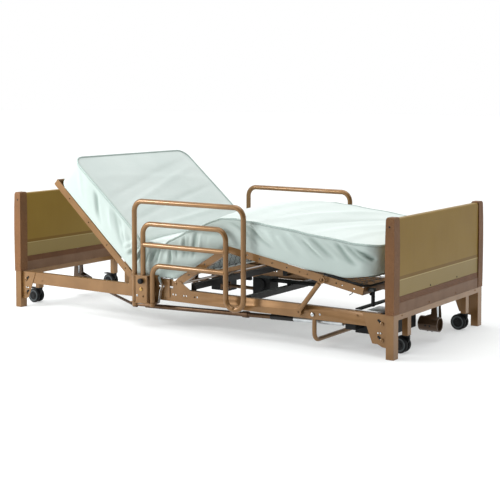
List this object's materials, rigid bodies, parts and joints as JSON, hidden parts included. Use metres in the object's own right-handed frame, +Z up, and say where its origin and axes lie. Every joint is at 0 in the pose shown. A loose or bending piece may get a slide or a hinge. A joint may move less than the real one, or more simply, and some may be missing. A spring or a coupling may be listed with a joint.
{
  "type": "adjustable hospital bed",
  "caption": "Low home-care bed with raised back and knee sections, fitted mattress, half-length assist rails, panelled ends and casters on telescoping legs.",
  "frame": {"origin": "on the floor under the middle of the bed's box, with the posts standing on z = 0", "axes": "+X toward the foot end, +Y to the far side, +Z up"},
  "size_m": [2.2786, 1.056, 0.7869],
  "materials": {
    "bronze_paint": "semi-gloss bronze-brown powder coat",
    "brown_moulding": "fine-grained brown moulding",
    "tan_panel": "satin tan laminate panel",
    "brown_skirt": "brown moulding with a ribbed band",
    "black_paint": "black enamel",
    "black_plastic": "black moulded plastic",
    "caster_rubber": "black tyre with a grey ring",
    "zinc_plate": "bright zinc plate",
    "shaft_steel": "brown sleeve on a bright shaft",
    "spring_wire": "grey link-spring wire",
    "mattress_cover": "pale mint coated stretch fabric"
  },
  "bodies": {
    "foot_carriage": {"foot_carriage": "bronze_paint"},
    "frame": {"foot_end_frame": "bronze_paint", "foot_panel": "tan_panel", "foot_skirt": "brown_skirt", "foot_gearbox": "bronze_paint", "near_foot_post_cover": "brown_moulding", "far_foot_post_cover": "brown_moulding", "head_end_frame": "bronze_paint", "head_panel": "tan_panel", "head_skirt": "brown_skirt", "head_gearbox": "bronze_paint", "near_head_post_cover": "brown_moulding", "far_head_post_cover": "brown_moulding", "near_head_rail": "bronze_paint", "near_foot_rail": "bronze_paint", "near_rail_bracket": "bronze_paint", "far_head_rail": "bronze_paint", "far_foot_rail": "bronze_paint", "far_rail_bracket": "bronze_paint", "hinge_cross_tube": "black_paint", "foot_cross_tube": "black_paint", "transport_stand": "bronze_paint", "seat_frame": "bronze_paint", "seat_springs": "spring_wire", "mattress_seat": "mattress_cover", "back_motor": "black_plastic", "knee_motor": "black_plastic", "lift_motor": "black_plastic"},
    "head_carriage": {"head_carriage": "bronze_paint"},
    "foot_lift_screw": {"foot_lift_screw": "zinc_plate"},
    "head_lift_screw": {"head_lift_screw": "zinc_plate"},
    "drive_shaft": {"drive_shaft": "shaft_steel"},
    "link_shaft": {"link_shaft": "shaft_steel"},
    "back_rest": {"back_frame": "bronze_paint", "back_springs": "spring_wire", "mattress_back": "mattress_cover"},
    "thigh_rest": {"thigh_frame": "bronze_paint", "thigh_springs": "spring_wire", "mattress_thigh": "mattress_cover"},
    "foot_rest": {"foot_frame": "bronze_paint", "foot_springs": "spring_wire", "mattress_foot": "mattress_cover"},
    "near_strut": {"near_strut": "bronze_paint"},
    "far_strut": {"far_strut": "bronze_paint"},
    "back_rod": {"back_rod": "zinc_plate"},
    "knee_rod": {"knee_rod": "zinc_plate"},
    "near_assist_rail": {"near_assist_rail": "bronze_paint"},
    "near_rail_knob": {"near_rail_knob": "black_plastic"},
    "far_assist_rail": {"far_assist_rail": "bronze_paint"},
    "far_rail_knob": {"far_rail_knob": "black_plastic"},
    "near_foot_caster": {"near_foot_caster_fork": "black_plastic"},
    "near_foot_wheels": {"near_foot_caster_wheels": "caster_rubber"},
    "far_foot_caster": {"far_foot_caster_fork": "black_plastic"},
    "far_foot_wheels": {"far_foot_caster_wheels": "caster_rubber"},
    "near_head_caster": {"near_head_caster_fork": "black_plastic"},
    "near_head_wheels": {"near_head_caster_wheels": "caster_rubber"},
    "near_head_pedal": {"near_head_brake_pedal": "black_plastic"},
    "far_head_caster": {"far_head_caster_fork": "black_plastic"},
    "far_head_wheels": {"far_head_caster_wheels": "caster_rubber"},
    "far_head_pedal": {"far_head_brake_pedal": "black_plastic"}
  },
  "joints": [
    {"name": "bed_lift", "type": "slide", "parent": "foot_carriage", "child": "frame", "axis": [0, 0, 1], "range_m": [0, 0.26]},
    {"name": "head_lift", "type": "slide", "parent": "frame", "child": "head_carriage", "axis": [0, 0, -1], "range_m": [0, 0.26]},
    {"name": "foot_screw_turn", "type": "hinge", "parent": "frame", "child": "foot_lift_screw", "pos_m": [1.11675, 0, 0.3], "axis": [0, 0, 1], "range_deg": [0, 11701]},
    {"name": "head_screw_turn", "type": "hinge", "parent": "frame", "child": "head_lift_screw", "pos_m": [-1.07325, 0, 0.3], "axis": [0, 0, 1], "range_deg": [0, 11701]},
    {"name": "drive_shaft_turn", "type": "hinge", "parent": "frame", "child": "drive_shaft", "pos_m": [-0.33825, -0.4, 0.08], "axis": [0.9995, 0, 0.033], "range_deg": [0, 11701]},
    {"name": "link_shaft_turn", "type": "hinge", "parent": "frame", "child": "link_shaft", "pos_m": [-0.97825, -0.01, 0.077], "axis": [0.8543, -0.5198, 0.0028], "range_deg": [0, 11701]},
    {"name": "back_tilt", "type": "hinge", "parent": "frame", "child": "back_rest", "pos_m": [-0.30475, 0, 0.217], "axis": [0, 1, 0], "range_deg": [-41.5, 18.5]},
    {"name": "knee_raise", "type": "hinge", "parent": "frame", "child": "thigh_rest", "pos_m": [-0.03975, 0, 0.217], "axis": [0, -1, 0], "range_deg": [-32, 3]},
    {"name": "foot_tilt", "type": "hinge", "parent": "thigh_rest", "child": "foot_rest", "pos_m": [0.26216, 0, 0.40565], "axis": [0, -1, 0], "range_deg": [-3.99, 42.32]},
    {"name": "near_strut_swing", "type": "hinge", "parent": "frame", "child": "near_strut", "pos_m": [0.65825, -0.458, 0.157], "axis": [0, -1, 0], "range_deg": [-34.9, 3.29]},
    {"name": "far_strut_swing", "type": "hinge", "parent": "frame", "child": "far_strut", "pos_m": [0.65825, 0.458, 0.157], "axis": [0, -1, 0], "range_deg": [-34.9, 3.29]},
    {"name": "back_rod_slide", "type": "slide", "parent": "frame", "child": "back_rod", "axis": [1, 0, 0], "range_m": [-0.0218, 0.0488]},
    {"name": "knee_rod_slide", "type": "slide", "parent": "frame", "child": "knee_rod", "axis": [1, 0, 0], "range_m": [-0.0331, 0.0032]},
    {"name": "near_rail_drop", "type": "slide", "parent": "frame", "child": "near_assist_rail", "axis": [0, 0, 1], "range_m": [-0.08, 0]},
    {"name": "near_knob_pull", "type": "slide", "parent": "frame", "child": "near_rail_knob", "axis": [0, -1, 0], "range_m": [0, 0.008], "stiffness_N_per_m": 800},
    {"name": "far_rail_drop", "type": "slide", "parent": "frame", "child": "far_assist_rail", "axis": [0, 0, 1], "range_m": [-0.08, 0]},
    {"name": "far_knob_pull", "type": "slide", "parent": "frame", "child": "far_rail_knob", "axis": [0, 1, 0], "range_m": [0, 0.008], "stiffness_N_per_m": 800},
    {"name": "near_foot_swivel", "type": "hinge", "parent": "foot_carriage", "child": "near_foot_caster", "pos_m": [1.11675, -0.304, 0.095], "axis": [0, 0, 1], "continuous": true},
    {"name": "near_foot_roll", "type": "hinge", "parent": "near_foot_caster", "child": "near_foot_wheels", "pos_m": [1.09175, -0.304, 0.038], "axis": [0, 1, 0], "continuous": true},
    {"name": "far_foot_swivel", "type": "hinge", "parent": "foot_carriage", "child": "far_foot_caster", "pos_m": [1.11675, 0.304, 0.095], "axis": [0, 0, 1], "continuous": true},
    {"name": "far_foot_roll", "type": "hinge", "parent": "far_foot_caster", "child": "far_foot_wheels", "pos_m": [1.09175, 0.304, 0.038], "axis": [0, 1, 0], "continuous": true},
    {"name": "near_head_swivel", "type": "hinge", "parent": "head_carriage", "child": "near_head_caster", "pos_m": [-1.07325, -0.304, 0.095], "axis": [0, 0, 1], "continuous": true},
    {"name": "near_head_roll", "type": "hinge", "parent": "near_head_caster", "child": "near_head_wheels", "pos_m": [-1.09825, -0.304, 0.038], "axis": [0, 1, 0], "continuous": true},
    {"name": "near_head_brake", "type": "hinge", "parent": "near_head_caster", "child": "near_head_pedal", "pos_m": [-1.11725, -0.304, 0.0755], "axis": [0, -1, 0], "range_deg": [0, 12]},
    {"name": "far_head_swivel", "type": "hinge", "parent": "head_carriage", "child": "far_head_caster", "pos_m": [-1.07325, 0.304, 0.095], "axis": [0, 0, 1], "continuous": true},
    {"name": "far_head_roll", "type": "hinge", "parent": "far_head_caster", "child": "far_head_wheels", "pos_m": [-1.09825, 0.304, 0.038], "axis": [0, 1, 0], "continuous": true},
    {"name": "far_head_brake", "type": "hinge", "parent": "far_head_caster", "child": "far_head_pedal", "pos_m": [-1.11725, 0.304, 0.0755], "axis": [0, -1, 0], "range_deg": [0, 12]}
  ],
  "couplings": [
    {"joint": "head_lift", "follows": "bed_lift", "ratio": 1},
    {"joint": "foot_screw_turn", "follows": "bed_lift", "rad_per_m": 785.4},
    {"joint": "head_screw_turn", "follows": "bed_lift", "rad_per_m": 785.4},
    {"joint": "drive_shaft_turn", "follows": "bed_lift", "rad_per_m": 785.4},
    {"joint": "link_shaft_turn", "follows": "bed_lift", "rad_per_m": 785.4},
    {"joint": "foot_tilt", "follows": "knee_raise", "ratio": -1.3219},
    {"joint": "near_strut_swing", "follows": "knee_raise", "ratio": 1.09},
    {"joint": "far_strut_swing", "follows": "knee_raise", "ratio": 1.09},
    {"joint": "back_rod_slide", "follows": "back_tilt", "m_per_rad": -0.0672},
    {"joint": "knee_rod_slide", "follows": "knee_raise", "m_per_rad": 0.059}
  ]
}
